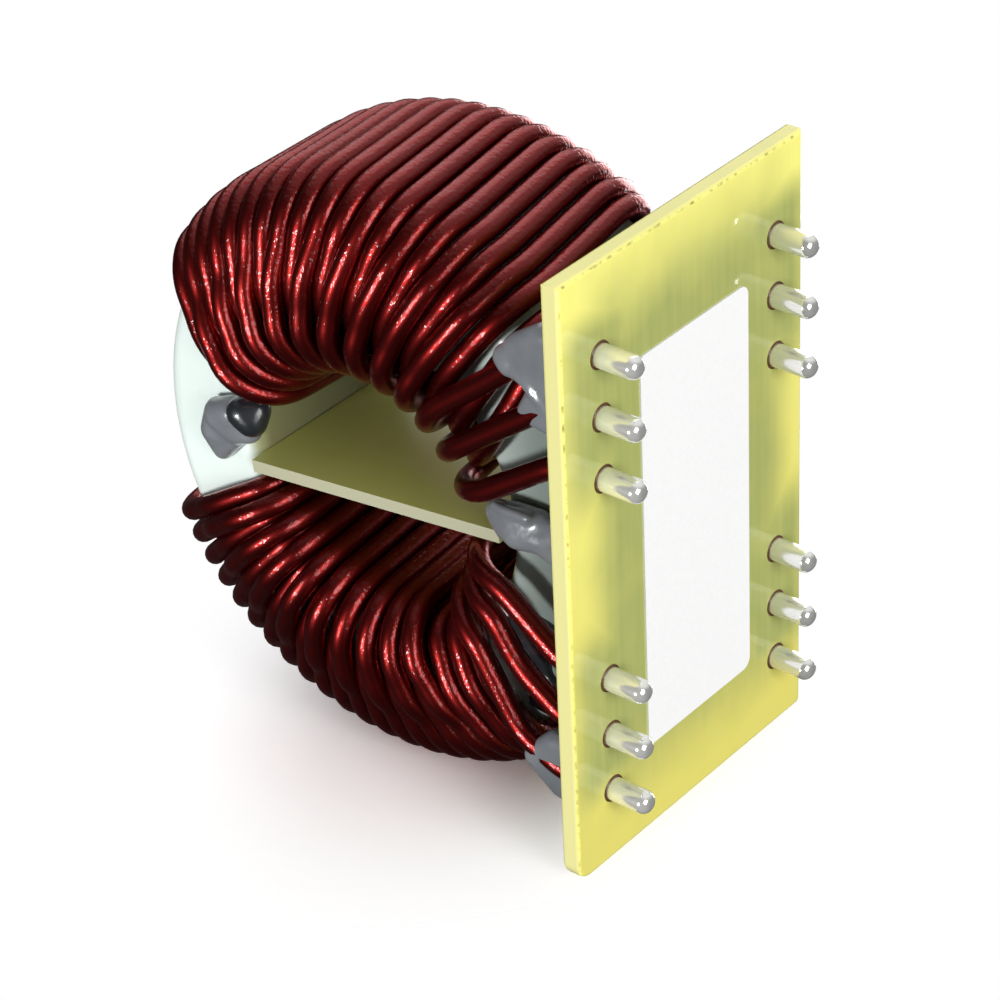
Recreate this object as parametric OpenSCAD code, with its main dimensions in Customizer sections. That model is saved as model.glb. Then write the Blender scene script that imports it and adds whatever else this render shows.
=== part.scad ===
// Toroidal choke with two windings of three parallel wires each, standing on edge on a drilled base board.
// Millimetres. The origin is the centre of the pin pattern on the board's underside, +Z points from the pins
// to the ring, +X runs along the board and +Y along the ring's axis.

/* [Base board] */
// Length of the base board
board_l = 50.5; // [48:0.1:60]
// Width of the base board
board_w = 28.3; // [27:0.1:34]
// Thickness of the laminate
board_t = 1.6; // [1:0.1:2.4]
// How far the board's centre lies from the pin pattern's centre, along its length
board_shift_x = 0.4; // [-1:0.1:1]
// How far the board's centre lies from the pin pattern's centre, across its width
board_shift_y = -0.5; // [-1:0.1:1]
// Radius of the corner that was broken off by handling
worn_corner_r = 1.4; // [0.5:0.1:2]
// Radius of the other corners
corner_r = 0.4; // [0.2:0.1:1]
// Diameter of the drilled holes
hole_d = 2.2; // [2:0.05:2.6]

/* [Pins] */
// Distance between neighbouring pins of a row
pin_pitch = 5; // [4.8:0.01:5.2]
// Distance from the middle of a row to its nearest pins
pin_inner_x = 8.56; // [8.4:0.01:8.7]
// Distance between the two rows
row_gap = 20.64; // [20:0.01:21]
// Diameter of a wire end with its tin coat
pin_d = 1.85; // [1.8:0.01:2]
// How far the pins stand out below the board
pin_l = 3.54; // [2.5:0.01:5]

/* [Ring core] */
// Inner diameter of the coated core
core_id = 25.2; // [24:0.1:26]
// Outer diameter of the coated core
core_od = 44.2; // [43:0.1:45]
// Height of the coated core, along the ring's axis
core_h = 17.8; // [17:0.1:18.5]
// Radius of the core's edges
core_edge_r = 1.8; // [1:0.1:2.5]
// Place of the ring's centre along the board
ring_x = -2.1; // [-2.5:0.1:-1.7]
// Place of the ring's centre across the board
ring_y = 1.1; // [0.9:0.1:1.3]
// Height of the ring's centre above the board's underside
ring_z = 23.9; // [23.8:0.05:24.5]

/* [Windings] */
// Diameter of the enamelled wire
wire_d = 1.75; // [1.5:0.01:1.76]
// Air between a wire and what it lies on
seat = 0.05; // [0.02:0.01:0.1]
// How far the turns stand off the core's outside at the middle of its height
belly = 1.4; // [1.2:0.1:2]
// Radius of the wire's bend over the core's outer edge
outer_bend_r = 4.85; // [4:0.05:5.5]
// How far a turn drifts along the ring on its way from the front edge to the back edge, in degrees
drift = 3.5; // [0:0.5:5]

/* [Other pieces] */
// Thickness of the strip between the two windings
divider_t = 1.05; // [0.8:0.05:1.6]
// Length of the strip along the ring's axis
divider_l = 19.4; // [18:0.1:21]
// Tilt of the strip from the line that runs up from the board, in degrees
divider_tilt = 6.6; // [0:0.1:8]
// Distance of the strip from the ring's axis
divider_off = 1; // [0.5:0.1:1.5]
// Length of the label
label_l = 33.6; // [25:0.1:33.6]
// Width of the label
label_w = 12.8; // [10:0.1:16]

/* [Hidden] */
$fn = 48;
UPPER = 1;
LOWER = -1;
FRONT = -1;
BACK = 1;
TURNS = 7;
SIDES = 8;

// Slots are counted from the board to the ring's far end. Angles are measured from the line that runs up from
// the board. On the outer edge slot s lies at FIRST - STEP * s - SPREAD * s * s degrees, and at the hole's mouth
// at MOUTH_FIRST - MOUTH_STEP * s. The first value is for the lower winding, the second for the upper one.
FIRST = [131, 133.5];
STEP = [5.25, 4.3];
SPREAD = [0, 0.029];
MOUTH_FIRST = [128, 133.5];
MOUTH_STEP = [5.38, 5.55];
// Beside the board the first slots stand wider apart on the outer edge, and fan out at the hole's mouth.
NEAR_STEP = 5.25;
FRONT_FAN = [10.5, 12.5];
BACK_FAN = 9.3;

tin_top = board_t + 0.9;
thin_coat_d = wire_d + 0.05;
coat_step = 0.1;
coat_taper = 0.02;
slack = 0.12;
stack = wire_d + 0.02;
hole_r = core_id / 2 - seat - wire_d / 2;
face_y = core_h / 2 + seat + wire_d / 2 + 0.3;
inner_bend_r = core_edge_r + seat + wire_d / 2;
rim_r = hole_r + inner_bend_r;
belly_r = core_od / 2 + belly + wire_d / 2;
shoulder_r = belly_r - outer_bend_r;
label_t = 0.12;
face_front = ring_y - core_h / 2;
core_y = face_front - 0.98;
outer_y = face_front - 3.1;
foot_z = board_t + 1.03;
room = 0.04;
label_shift_x = -0.5;
label_shift_y = 0.35;

// ---- Turns of a wire, as points [radius, angle, y] about the ring's axis ----

function mix(a, b, t) = a + (b - a) * t;
function pick(side, pair) = side == UPPER ? pair[1] : pair[0];
function reversed(list) = [for (i = [len(list) - 1 : -1 : 0]) list[i]];

// Slots that wire w (0 to 2) passes through outside the ring: up beside the core, then back over it.
function slot(w, turn) =
    turn == 0 ? w
    : turn < 4 ? 6 * turn - 2 + 2 * w
    : 39 - 6 * turn + 2 * w;

// 0 where a slot's wire lies on the core inside the hole, 1 where it lies over the first layer.
function layer(s) = s > 2 && s % 2 == 1 ? 1 : 0;

function shoulder_angle(side, s) =
    s < 2 ? shoulder_angle(side, 2) + NEAR_STEP * (2 - s)
    : pick(side, FIRST) - pick(side, STEP) * s - pick(side, SPREAD) * s * s;
function shoulder_pitch(side, s) = s < 2 ? NEAR_STEP : pick(side, STEP) + 2 * pick(side, SPREAD) * s;
function packed_angle(side, s) = pick(side, MOUTH_FIRST) - pick(side, MOUTH_STEP) * s;
function fan(side, face) = face == FRONT ? pick(side, FRONT_FAN) : BACK_FAN;
function mouth_pitch(side, s) = s > 2 ? pick(side, MOUTH_STEP) : BACK_FAN;

// On the back face the upper layer crosses over the lower one towards the board, by this many slots.
CROSSED = 4.4;
function crosses(s, face) = face == BACK && layer(s) == 1;
function mouth_angle(side, s, face) =
    crosses(s, face) ? packed_angle(side, s - CROSSED)
    : s > 2 ? packed_angle(side, s)
    : packed_angle(side, 4) + fan(side, face) * (3 - s);

// Every second slot's wire rides up on its neighbours wherever the turns are too close to lie side by side.
// Where it crosses them it keeps its full height up to the shoulder.
function lift(side, s, face, r) =
    crosses(s, face) && r < shoulder_r + 0.1 ? stack : nested(side, s, r);
function nested(side, s, r) =
    let (
        t = max(0, min(1, (r - rim_r) / (shoulder_r - rim_r))),
        gap = mix(mouth_pitch(side, s), shoulder_pitch(side, s), t) * r * PI / 180
    )
    s % 2 == 0 || gap > stack ? 0 : sqrt(stack * stack - gap * gap);

// Half a turn swings evenly from its mouth's angle to its shoulder's, over these shares of the way: to the end of
// the inner bend, then to the start of the outer bend, then to two thirds of the outer bend. On the back, where
// turns cross, all have swung by the start of the outer bend.
ON_FACE = 0.3;
OFF_FACE = 0.65;
function swung(mouth, shoulder, way) =
    let (t = min(1, way))
    mix(mouth, shoulder, t * t * (3 - 2 * t));
function haste(face) = face == BACK ? 1 / OFF_FACE : 1;

function inner_bend(lay, face, mouth, shoulder) = [
    for (t = [0, 45, 90])
        let (
            bend = inner_bend_r + lay * stack,
            r = t == 45 ? bend / cos(22.5) : bend
        )
        [
            rim_r - r * cos(t),
            swung(mouth, shoulder, haste(face) * ON_FACE * t / 90),
            face * (face_y - inner_bend_r + r * sin(t))
        ]
];

function outer_bend(side, s, face, mouth, shoulder) = [
    for (t = [0 : 30 : 90])
        let (r = outer_bend_r + lift(side, s, face, shoulder_r + outer_bend_r * sin(t)))
        [
            shoulder_r + r * sin(t),
            swung(mouth, shoulder, haste(face) * (OFF_FACE + (1 - OFF_FACE) * t / 60)),
            face * (face_y - outer_bend_r + r * cos(t))
        ]
];

// The wire from the hole's mouth over one face of the core to the outside of the ring.
function half_turn(side, s, face) =
    let (
        away = face == BACK ? drift : 0,
        mouth = mouth_angle(side, s, face),
        shoulder = shoulder_angle(side, s) - away,
        middle_r = mix(rim_r, shoulder_r, 0.5),
        middle_angle = swung(mouth, shoulder, haste(face) * mix(ON_FACE, OFF_FACE, 0.5)),
        middle = [middle_r, middle_angle, face * (face_y + lift(side, s, face, middle_r) + slack)]
    )
    concat(
        inner_bend(layer(s), face, mouth, shoulder),
        s % 2 == 0 ? [] : [middle],
        outer_bend(side, s, face, mouth, shoulder)
    );

function one_turn(side, s) = concat(half_turn(side, s, FRONT), reversed(half_turn(side, s, BACK)));

// The wire through the hole, between its back mouth and its front mouth. Where the winding turns back, its wires
// climb to the upper layer at once. The places say how far along the hole a point lies, and how far round.
function hole_run(from, to) =
    let (
        climbs = from[0] > to[0] + stack / 2,
        along = [0.25, 0.62],
        round_by = climbs ? [0.05, 0.45] : to[0] < hole_r - stack / 2 ? [0.32, 0.66] : [0.2, 0.6]
    )
    [for (i = [0, 1]) [to[0], mix(from[1], to[1], round_by[i]), mix(from[2], to[2], along[i])]];

// ---- Leads ----

// Angle at which wire w's lead leaves the hole's mouth, on the front and on the back.
FRONT_LEAD_ANGLE = [[172, 160, 145], [156, 141, 128]];
BACK_LEAD_ANGLE = [[167.5, 158.5, 149.5], [167.5, 158.5, 149.5]];
function lead_angle(side, w, face) = pick(side, face == FRONT ? FRONT_LEAD_ANGLE : BACK_LEAD_ANGLE)[w];

function pin_place(side, w, face) = [side * (pin_inner_x + pin_pitch * w), face * row_gap / 2];

function ring_point(side, p) = [ring_x + side * p[0] * sin(p[1]), ring_y + p[2], ring_z + p[0] * cos(p[1])];

// Where a front lead bends on its way from the hole's mouth to the board, as [x, z].
FRONT_VIA = [[[], [-10.6, 8.1], [-16.8, 8.2]], [[], [], [13.8, 9.3]]];
function via(side, w, face) = face == FRONT ? pick(side, FRONT_VIA)[w] : [];

// Rounds the corner at b with three points of a curve that starts and ends reach away from it.
function rounded(a, b, c, reach) =
    let (
        p = b + reach * (a - b) / norm(a - b),
        q = b + reach * (c - b) / norm(c - b)
    )
    [for (t = [0 : 0.5 : 1]) (1 - t) * (1 - t) * p + 2 * t * (1 - t) * b + t * t * q];

// The first lead of each wire lies on the core inside the hole, the last one over the first layer.
function lead_mouth(side, w, face) =
    let (angle = lead_angle(side, w, face))
    inner_bend(face == FRONT ? 1 : 0, face, angle, angle);

// The lead from the hole's mouth to the inside of its tinned end, in the order mouth to board.
function lead(side, w, face) =
    let (
        mouth = [for (p = lead_mouth(side, w, face)) ring_point(side, p)],
        pin = pin_place(side, w, face),
        outside = mouth[len(mouth) - 1],
        top = [pin[0], outside[1], tin_top + 1.3],
        end = [pin[0], pin[1], tin_top - 0.5],
        bend = via(side, w, face),
        corner = len(bend) == 0 ? outside : [bend[0], outside[1], bend[1]]
    )
    concat(
        mouth,
        len(bend) == 0 ? [] : rounded(outside, corner, top, 1.5),
        rounded(corner, top, end, 0.8),
        [end]
    );

// ---- A round wire along a list of points ----

function unit(v) = v / norm(v);
function tangent(path, i) = unit(path[min(i + 1, len(path) - 1)] - path[max(i - 1, 0)]);
function around_ring(side, p) =
    let (x = side * (p[0] - ring_x), z = p[2] - ring_z)
    unit([side * z, 0, -x]);

function section(side, path, i, d) =
    let (
        t = tangent(path, i),
        along = around_ring(side, path[i]),
        u = unit(along - (along * t) * t),
        v = cross(t, u)
    )
    [
        for (k = [0 : SIDES - 1])
            let (a = 360 * (k + 0.5) / SIDES)
            path[i] + d / 2 * (cos(a) * u + sin(a) * v)
    ];

module swept_wire(side, path, d = wire_d) {
    last = len(path) - 1;
    points = [for (i = [0 : last]) each section(side, path, i, d)];
    walls = [
        for (i = [0 : last - 1], k = [0 : SIDES - 1])
            let (n = (k + 1) % SIDES)
            [i * SIDES + k, (i + 1) * SIDES + k, (i + 1) * SIDES + n, i * SIDES + n]
    ];
    first_cap = [for (k = [0 : SIDES - 1]) k];
    last_cap = [for (k = [SIDES - 1 : -1 : 0]) last * SIDES + k];
    polyhedron(points, concat([first_cap, last_cap], walls));
}

// From the back lead's pin through the hole, round the core seven times and out to the front lead's pin.
function wire_path(side, w) =
    let (
        turns = [for (i = [0 : TURNS - 1]) one_turn(side, slot(w, i))],
        back_mouths = concat([lead_mouth(side, w, BACK)[0]], [for (turn = turns) turn[len(turn) - 1]]),
        front_mouths = concat([for (turn = turns) turn[0]], [lead_mouth(side, w, FRONT)[0]]),
        runs = [for (i = [0 : TURNS]) hole_run(back_mouths[i], front_mouths[i])]
    )
    concat(
        reversed(lead(side, w, BACK)),
        [for (i = [0 : TURNS - 1]) each [for (p = concat(runs[i], turns[i])) ring_point(side, p)]],
        [for (p = runs[TURNS]) ring_point(side, p)],
        lead(side, w, FRONT)
    );

// Dome-ended pin below the board, and the tin coat that runs up through the hole and gets thinner on its way.
module tinned_end(side, w, face) {
    pin = pin_place(side, w, face);
    dome_z = pin_d / 2 - pin_l;
    translate([pin[0], pin[1], dome_z]) {
        cylinder(h = -coat_step - dome_z, d = pin_d);
        cylinder(h = tin_top - dome_z, d1 = pin_d - coat_taper, d2 = thin_coat_d);
        sphere(d = pin_d);
    }
}

module wire(side, w) {
    color("#7a1420") swept_wire(side, wire_path(side, w));
    color("#d9dad6") {
        tinned_end(side, w, FRONT);
        tinned_end(side, w, BACK);
    }
}

module upper_wire_1() { wire(UPPER, 0); }
module upper_wire_2() { wire(UPPER, 1); }
module upper_wire_3() { wire(UPPER, 2); }
module lower_wire_1() { wire(LOWER, 0); }
module lower_wire_2() { wire(LOWER, 1); }
module lower_wire_3() { wire(LOWER, 2); }

// ---- Core, boards and label ----

// Profile of a body of revolution with rounded edges, between two radii.
module rounded_band(r0, r1, h, edge) {
    translate([r0 + edge, -h / 2]) square([r1 - r0 - 2 * edge, h]);
    translate([r0, -h / 2 + edge]) square([r1 - r0, h - 2 * edge]);
    for (r = [r0 + edge, r1 - edge], y = [-h / 2 + edge, h / 2 - edge])
        translate([r, y]) circle(r = edge);
}

module core() {
    color("#b9cdb9")
        translate([ring_x, ring_y, ring_z])
            rotate([90, 0, 0])
                rotate_extrude($fn = 96) rounded_band(core_id / 2, core_od / 2, core_h, core_edge_r);
}

// The strip is as wide as the hole lets it be at its place.
module divider_board() {
    reach = sqrt(pow(core_id / 2 - seat, 2) - pow(divider_off + divider_t / 2, 2));
    color("#b8b48a")
        translate([ring_x, ring_y, ring_z])
            rotate([0, -divider_tilt, 0])
                translate([-divider_off - divider_t / 2, -divider_l / 2, -reach])
                    cube([divider_t, divider_l, 2 * reach]);
}

// What is cut off a square corner to leave it round: the corner at the origin, the plate towards +X and +Y.
module corner_waste(r) {
    difference() {
        translate([-1, -1]) square(r + 1);
        translate([r, r]) circle(r = r);
    }
}

module plate_outline(l, w, radii) {
    difference() {
        translate([-l / 2, -w / 2]) square([l, w]);
        translate([-l / 2, -w / 2]) corner_waste(radii[0]);
        translate([l / 2, -w / 2]) mirror([1, 0]) corner_waste(radii[1]);
        translate([l / 2, w / 2]) mirror([1, 0]) mirror([0, 1]) corner_waste(radii[2]);
        translate([-l / 2, w / 2]) mirror([0, 1]) corner_waste(radii[3]);
    }
}

module each_pin() {
    for (side = [UPPER, LOWER], w = [0 : 2], face = [FRONT, BACK])
        translate(pin_place(side, w, face)) children();
}

module base_board() {
    color("#d8d29a")
        difference() {
            translate([board_shift_x, board_shift_y])
                linear_extrude(board_t) plate_outline(board_l, board_w, [worn_corner_r, corner_r, corner_r, corner_r]);
            each_pin() translate([0, 0, -1]) cylinder(h = board_t + 2, d = hole_d);
        }
}

module label() {
    color("#f2f2f2")
        translate([label_shift_x, label_shift_y, -label_t])
            linear_extrude(label_t) plate_outline(label_l, label_w, [0.3, 0.3, 0.9, 0.9]);
}

// ---- Adhesive ----

// A bead of adhesive: one smooth lump over round drops at the given centres.
module bead(r, centres) {
    hull()
        for (c = centres)
            translate(c) sphere(r = r, $fn = 10);
}

// The room that a lead with its tinned end, or the first turn of a wire, takes inside an adhesive bead.
module lead_room(side, w) {
    swept_wire(side, lead(side, w, FRONT), wire_d + room);
    translate(pin_place(side, w, FRONT)) cylinder(h = tin_top + room, d = thin_coat_d + room);
}
module turn_room(side, w) {
    path = [for (p = half_turn(side, w, FRONT)) ring_point(side, p)];
    swept_wire(side, path, wire_d + room);
}

// Holds the far end of the divider and lies on the core's front face between the windings.
module adhesive_far_end() {
    color("#8f9494")
        difference() {
            bead(0.95, [
                [-4.6, core_y, 39.2], [-2.6, core_y - 0.6, 40.6], [0.4, core_y, 39],
                [0.6, core_y, 36.4], [-2.4, core_y - 0.8, 36.6]
            ]);
            divider_board();
        }
}

// Ties the ring to the board over two leads of the winding on the +X side.
module adhesive_upper_foot() {
    color("#8f9494")
        difference() {
            bead(1, [
                [9.4, core_y, 5.4], [14.8, outer_y, 9.8], [17.8, outer_y, 7],
                [18.4, outer_y, foot_z], [11, outer_y, foot_z], [11.2, outer_y, 5.6]
            ]);
            for (w = [1, 2]) lead_room(UPPER, w);
            for (w = [0, 1]) turn_room(UPPER, w);
        }
}

// Ties the ring to the board below the near end of the divider.
module adhesive_lower_foot() {
    color("#8f9494")
        difference() {
            bead(0.95, [
                [0.4, core_y, 11.9], [-0.8, core_y - 0.6, 11.4], [0.6, core_y - 0.4, 7],
                [-1.4, core_y, 7.2], [1.6, core_y, foot_z], [-2.6, core_y, foot_z]
            ]);
            divider_board();
        }
}

// Fills the corner between the ring and the board behind the leads of the winding on the -X side.
module adhesive_board_edge() {
    color("#8f9494")
        bead(0.7, [
            [-5.2, face_front - 0.72, board_t + 0.72], [-14.4, face_front - 0.72, board_t + 0.72], [-13.2, face_front - 0.72, 6],
            [-7, face_front - 0.72, 6.2]
        ]);
}

// Props the winding on the -X side where it comes nearest to the board.
module adhesive_coil_end() {
    color("#8f9494")
        difference() {
            bead(1, [
                [-18.2, outer_y, 7.2], [-21.4, -9.4, 5.6], [-15.8, outer_y, foot_z],
                [-21.4, -9.4, foot_z], [-20.6, -4, foot_z]
            ]);
            lead_room(LOWER, 2);
            for (w = [0, 1]) turn_room(LOWER, w);
        }
}

core();
divider_board();
base_board();
label();
upper_wire_1();
upper_wire_2();
upper_wire_3();
lower_wire_1();
lower_wire_2();
lower_wire_3();
adhesive_far_end();
adhesive_upper_foot();
adhesive_lower_foot();
adhesive_board_edge();
adhesive_coil_end();
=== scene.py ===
# Ring-core choke: two windings of three thick enamelled wires each on a
# coated ring core, a strip between them, a drilled base board with tinned
# wire ends for pins, and grey resin that holds it all together. Metres.
import math

import bmesh
import bpy
import numpy as np
from mathutils import Matrix, Vector


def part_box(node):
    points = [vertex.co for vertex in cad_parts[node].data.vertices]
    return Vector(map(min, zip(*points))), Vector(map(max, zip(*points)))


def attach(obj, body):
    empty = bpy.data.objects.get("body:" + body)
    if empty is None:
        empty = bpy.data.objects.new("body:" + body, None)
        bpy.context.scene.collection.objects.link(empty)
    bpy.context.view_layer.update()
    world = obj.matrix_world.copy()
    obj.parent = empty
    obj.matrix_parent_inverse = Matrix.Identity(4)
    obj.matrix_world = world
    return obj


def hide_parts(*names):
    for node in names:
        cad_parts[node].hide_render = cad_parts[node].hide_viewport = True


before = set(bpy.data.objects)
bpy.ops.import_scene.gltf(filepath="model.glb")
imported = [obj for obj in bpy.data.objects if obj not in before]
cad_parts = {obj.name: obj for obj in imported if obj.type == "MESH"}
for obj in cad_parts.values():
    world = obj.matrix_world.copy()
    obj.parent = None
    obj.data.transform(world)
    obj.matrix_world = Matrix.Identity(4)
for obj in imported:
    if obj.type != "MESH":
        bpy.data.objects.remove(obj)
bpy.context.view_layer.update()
mm = 0.001


# ---- Ring core ----
# A pressed ferrite ring in a mint-green epoxy powder coat, baked on. The
# solid has its rounded edges, so only the finish is added here: satin, with
# the faint orange peel that powder leaves, and painted shade in two places.

core_low, core_high = [Vector(corner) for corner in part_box("core")]
RING = (core_low + core_high) / 2
CORE_R = (core_high.x - core_low.x) / 2
HOLE_R = 12.6 * mm
CORE_H = core_high.y - core_low.y
CORE_EDGE_R = 1.8 * mm
ORANGE_PEEL = 0.6 * mm


def linear(hex_colour):
    """An sRGB hex colour as the linear colour that Blender's sockets take."""
    parts = [int(hex_colour[i:i + 2], 16) / 255 for i in (1, 3, 5)]
    return [c / 12.92 if c <= 0.04045 else ((c + 0.055) / 1.055) ** 2.4 for c in parts] + [1]


def new_material(name):
    """An empty material: its tree, and its output node."""
    material = bpy.data.materials.new(name)
    material.use_nodes = True
    material.node_tree.nodes.clear()
    return material, material.node_tree, material.node_tree.nodes.new("ShaderNodeOutputMaterial")


def put(tree, kind, settings=None, inputs=None):
    """Adds a node. Settings are its properties; inputs are
    values or sockets, by the input's name or number."""
    node = tree.nodes.new(kind)
    for name, value in (settings or {}).items():
        setattr(node, name, value)
    for name, value in (inputs or {}).items():
        if isinstance(value, bpy.types.NodeSocket):
            tree.links.new(value, node.inputs[name])
        else:
            node.inputs[name].default_value = value
    return node


def powder_coat():
    """Baked epoxy powder: satin, a little uneven in gloss, with a fine orange
    peel about 0.6 mm across. Painted shade darkens it to grey in front, down by the base board,
    most of all on the lower winding's side, and paints the bore's wall a dark olive."""
    material, tree, out = new_material("mint_epoxy_powder_coat")
    place = put(tree, "ShaderNodeTexCoord").outputs["Object"]
    axes = put(tree, "ShaderNodeSeparateXYZ", {}, {0: place})
    # Painted shade: the front of the coat goes grey from 17 mm down to 7 mm above the board.
    low = put(tree, "ShaderNodeMapRange", {"interpolation_type": "SMOOTHSTEP"}, {
        "Value": axes.outputs["Z"], "From Min": 17 * mm, "From Max": 7 * mm})
    front = put(tree, "ShaderNodeMapRange", {"interpolation_type": "SMOOTHSTEP"}, {
        "Value": axes.outputs["Y"], "From Min": -2 * mm, "From Max": -7 * mm, "To Max": 0.85})
    greyed = put(tree, "ShaderNodeMath", {"operation": "MULTIPLY"}, {0: low.outputs[0], 1: front.outputs[0]})
    clouds = put(tree, "ShaderNodeTexNoise", {}, {"Vector": place, "Scale": 1 / (6 * mm), "Detail": 3.0})
    peel = put(tree, "ShaderNodeTexNoise", {}, {"Vector": place, "Scale": 1 / ORANGE_PEEL, "Detail": 2.0})
    bump = put(tree, "ShaderNodeBump", {},
        {"Strength": 0.25, "Distance": 0.03 * mm, "Height": peel.outputs["Fac"]})
    clean = put(tree, "ShaderNodeMix", {"data_type": "RGBA"}, {
        0: clouds.outputs["Fac"], 6: linear("#cedad5"), 7: linear("#dbe6e1")}).outputs[2]
    # Painted shade: darker still on the lower winding's side, below x = 1 mm.
    left = put(tree, "ShaderNodeMapRange", {"interpolation_type": "SMOOTHSTEP"}, {
        "Value": axes.outputs["X"], "From Min": 1 * mm, "From Max": -4 * mm})
    painted_shade_tone = put(tree, "ShaderNodeMix", {"data_type": "RGBA"}, {
        0: left.outputs[0], 6: linear("#56605a"), 7: linear("#404b45")}).outputs[2]
    coat_with_painted_shade = put(tree, "ShaderNodeMix", {"data_type": "RGBA"}, {
        0: greyed.outputs[0], 6: clean, 7: painted_shade_tone}).outputs[2]
    apart = put(tree, "ShaderNodeVectorMath", {"operation": "SUBTRACT"}, {0: place, 1: RING})
    across = put(tree, "ShaderNodeVectorMath", {"operation": "MULTIPLY"}, {0: apart.outputs[0], 1: (1, 0, 1)})
    radius = put(tree, "ShaderNodeVectorMath", {"operation": "LENGTH"},
        {0: across.outputs[0]}).outputs["Value"]
    # Painted shade: the bore's wall is painted a dark olive.
    bore = put(tree, "ShaderNodeMapRange", {"interpolation_type": "SMOOTHSTEP"}, {
        "Value": radius, "From Min": HOLE_R + 1.3 * mm, "From Max": HOLE_R + 0.2 * mm, "To Max": 0.9})
    colour = put(tree, "ShaderNodeMix", {"data_type": "RGBA"}, {
        0: bore.outputs[0], 6: coat_with_painted_shade, 7: linear("#7d7b45")}).outputs[2]
    gloss = put(tree, "ShaderNodeMapRange", {},
        {"Value": clouds.outputs["Fac"], "To Min": 0.22, "To Max": 0.36})
    shader = put(tree, "ShaderNodeBsdfPrincipled", {}, {
        "Base Color": colour, "Roughness": gloss.outputs[0], "Normal": bump.outputs[0]})
    tree.links.new(shader.outputs[0], out.inputs["Surface"])
    return material


def dress(node, material):
    """Gives a CAD node's object its finish."""
    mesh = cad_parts[node].data
    mesh.materials.clear()
    mesh.materials.append(material)


dress("core", powder_coat())


# ---- Strip between the windings ----
# A sawn strip of bare glass-epoxy laminate that stands across the hole and
# keeps the windings apart. Its broad faces are smooth resin, with painted shade that
# runs from yellow by the board to olive at the far end, and its sawn edges are dull fibre.

def sawn_laminate():
    """Glass-epoxy strip: smooth faces with painted shade from yellow by the board to olive at the far end,
    and matt grey-brown fibre on the sawn edges.
    """
    material, tree, out = new_material("sawn_glass_epoxy_strip")
    coords = put(tree, "ShaderNodeTexCoord")
    facing = put(tree, "ShaderNodeSeparateXYZ", {}, {0: coords.outputs["Normal"]})
    edge = put(tree, "ShaderNodeMath", {"operation": "ABSOLUTE"}, {0: facing.outputs["Y"]})
    cut = put(tree, "ShaderNodeMath", {"operation": "GREATER_THAN"}, {0: edge.outputs[0], 1: 0.8})
    clouds = put(tree, "ShaderNodeTexNoise", {}, {"Vector": coords.outputs["Object"], "Scale": 1 / (5 * mm)})
    axes = put(tree, "ShaderNodeSeparateXYZ", {}, {0: coords.outputs["Object"]})
    # Painted light and shade: bright yellow near the board, darker olive towards the far end, deep in the
    # hole.
    lit = put(tree, "ShaderNodeMapRange", {"interpolation_type": "SMOOTHSTEP"}, {
        "Value": axes.outputs["Z"], "From Min": 36 * mm, "From Max": 6 * mm})
    clear = put(tree, "ShaderNodeMix", {"data_type": "RGBA"}, {
        0: lit.outputs[0], 6: linear("#b4ba5c"), 7: linear("#eaf880")}).outputs[2]
    face = put(tree, "ShaderNodeMix", {"data_type": "RGBA"}, {
        0: clouds.outputs["Fac"], 6: clear, 7: linear("#cdcc78")}).outputs[2]
    colour = put(tree, "ShaderNodeMix", {"data_type": "RGBA"}, {
        0: cut.outputs[0], 6: face, 7: linear("#9f9e84")}).outputs[2]
    gloss = put(tree, "ShaderNodeMapRange", {}, {"Value": cut.outputs[0], "To Min": 0.3, "To Max": 0.75})
    shader = put(tree, "ShaderNodeBsdfPrincipled", {}, {"Base Color": colour, "Roughness": gloss.outputs[0]})
    tree.links.new(shader.outputs[0], out.inputs["Surface"])
    return material


dress("divider_board", sawn_laminate())


# ---- Windings ----
# Each wire is drawn copper in a baked dark-red enamel. Three wound side by
# side make one winding: up beside the core, then back over the first layer,
# with the upper layer crossing the lower one on the back of the ring.

# SEAT is the gap to the core, and FACE_SLACK, BOW and BELLY how much farther a wire stands
# off at the ends of a face, halfway over it and outside the ring. DRIFT is how many
# degrees a turn shifts on the outside, from front to back. NEAR_STEP and BACK_FAN are the
# first slots' steps in degrees, outside and at the hole's mouth on the back, and CROSSED
# is how many slots the upper layer is set back there. ON_FACE and OFF_FACE are the shares
# of a half turn's swing that are done where it comes onto a face and where it leaves it.
WIRE_R = 0.875 * mm
STACK = 2 * WIRE_R + 0.02 * mm
SEAT = 0.05 * mm
FACE_SLACK = 0.3 * mm
BOW = 0.6 * mm
OUTER_BEND_R = 4.85 * mm
BELLY = 1.4 * mm
TURNS = 7
DRIFT = 3.5
NEAR_STEP = 5.25
BACK_FAN = 9.3
CROSSED = 4.4
ON_FACE = 0.3
OFF_FACE = 0.65
LEAD_BEND = 0.8 * mm
FRONT_LEAD_BEND = 1.5 * mm
UPPER = 1
LOWER = -1
FRONT = -1
BACK = 1

LAY_R = HOLE_R - SEAT - WIRE_R
FACE_Y = CORE_H / 2 + SEAT + WIRE_R + FACE_SLACK
INNER_BEND_R = CORE_EDGE_R + SEAT + WIRE_R
RIM_R = LAY_R + INNER_BEND_R
SHOULDER_R = CORE_R + BELLY + WIRE_R - OUTER_BEND_R

# Angles in degrees from the line that runs up from the board: slot 0, the step and its growth on the outside,
# slot 0 and the step at the hole's mouth, how far the first slots fan out there, and the front leads.
WINDING = {
    UPPER: {"first": 133.5, "step": 4.3, "spread": 0.029, "mouth": 133.5, "mouth_step": 5.55, "fan": 12.5,
            "leads": [156, 141, 128]},
    LOWER: {"first": 131, "step": 5.25, "spread": 0, "mouth": 128, "mouth_step": 5.38, "fan": 10.5,
            "leads": [172, 160, 145]},
}
BACK_LEADS = [167.5, 158.5, 149.5]
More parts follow.
